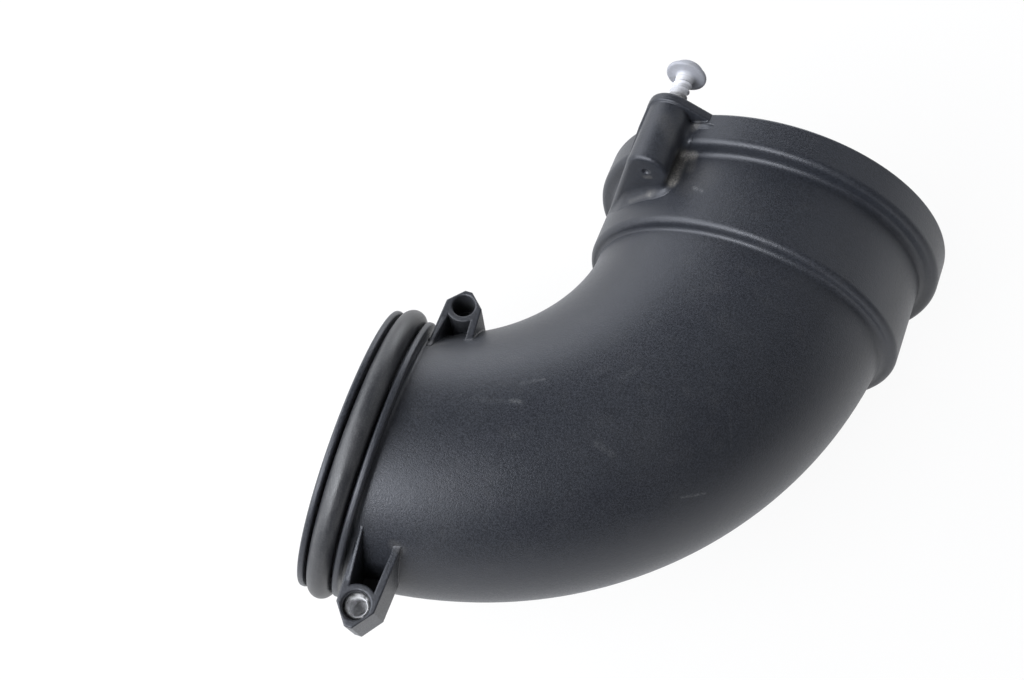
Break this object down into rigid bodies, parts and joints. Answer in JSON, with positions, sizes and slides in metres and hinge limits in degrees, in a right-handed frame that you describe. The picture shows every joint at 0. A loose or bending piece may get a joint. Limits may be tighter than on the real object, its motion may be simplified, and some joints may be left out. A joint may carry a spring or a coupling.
{
  "type": "air intake duct",
  "caption": "Tapered elbow duct moulded in black plastic, with a stepped socket mouth, a sealed spigot end, fixing ears beside the spigot and a screw boss at the mouth.",
  "frame": {"origin": "centre of the spigot's end face", "axes": "spigot points out along -X, the duct bends towards +Y in the XY plane, and +Z is towards the open side of the screw ears and the boss"},
  "size_m": [0.1614, 0.1906, 0.1136],
  "materials": {
    "black_plastic": "fine-textured charcoal black with light scuffs and dust",
    "seal_rubber": "slightly dusty dark grey",
    "zinc_steel": "dull zinc plating",
    "insert_steel": "plain turned steel"
  },
  "bodies": {
    "root": {"duct_body": "black_plastic", "spigot_seal": "seal_rubber", "mouth_screw": "zinc_steel", "ear_insert": "insert_steel"}
  },
  "joints": []
}
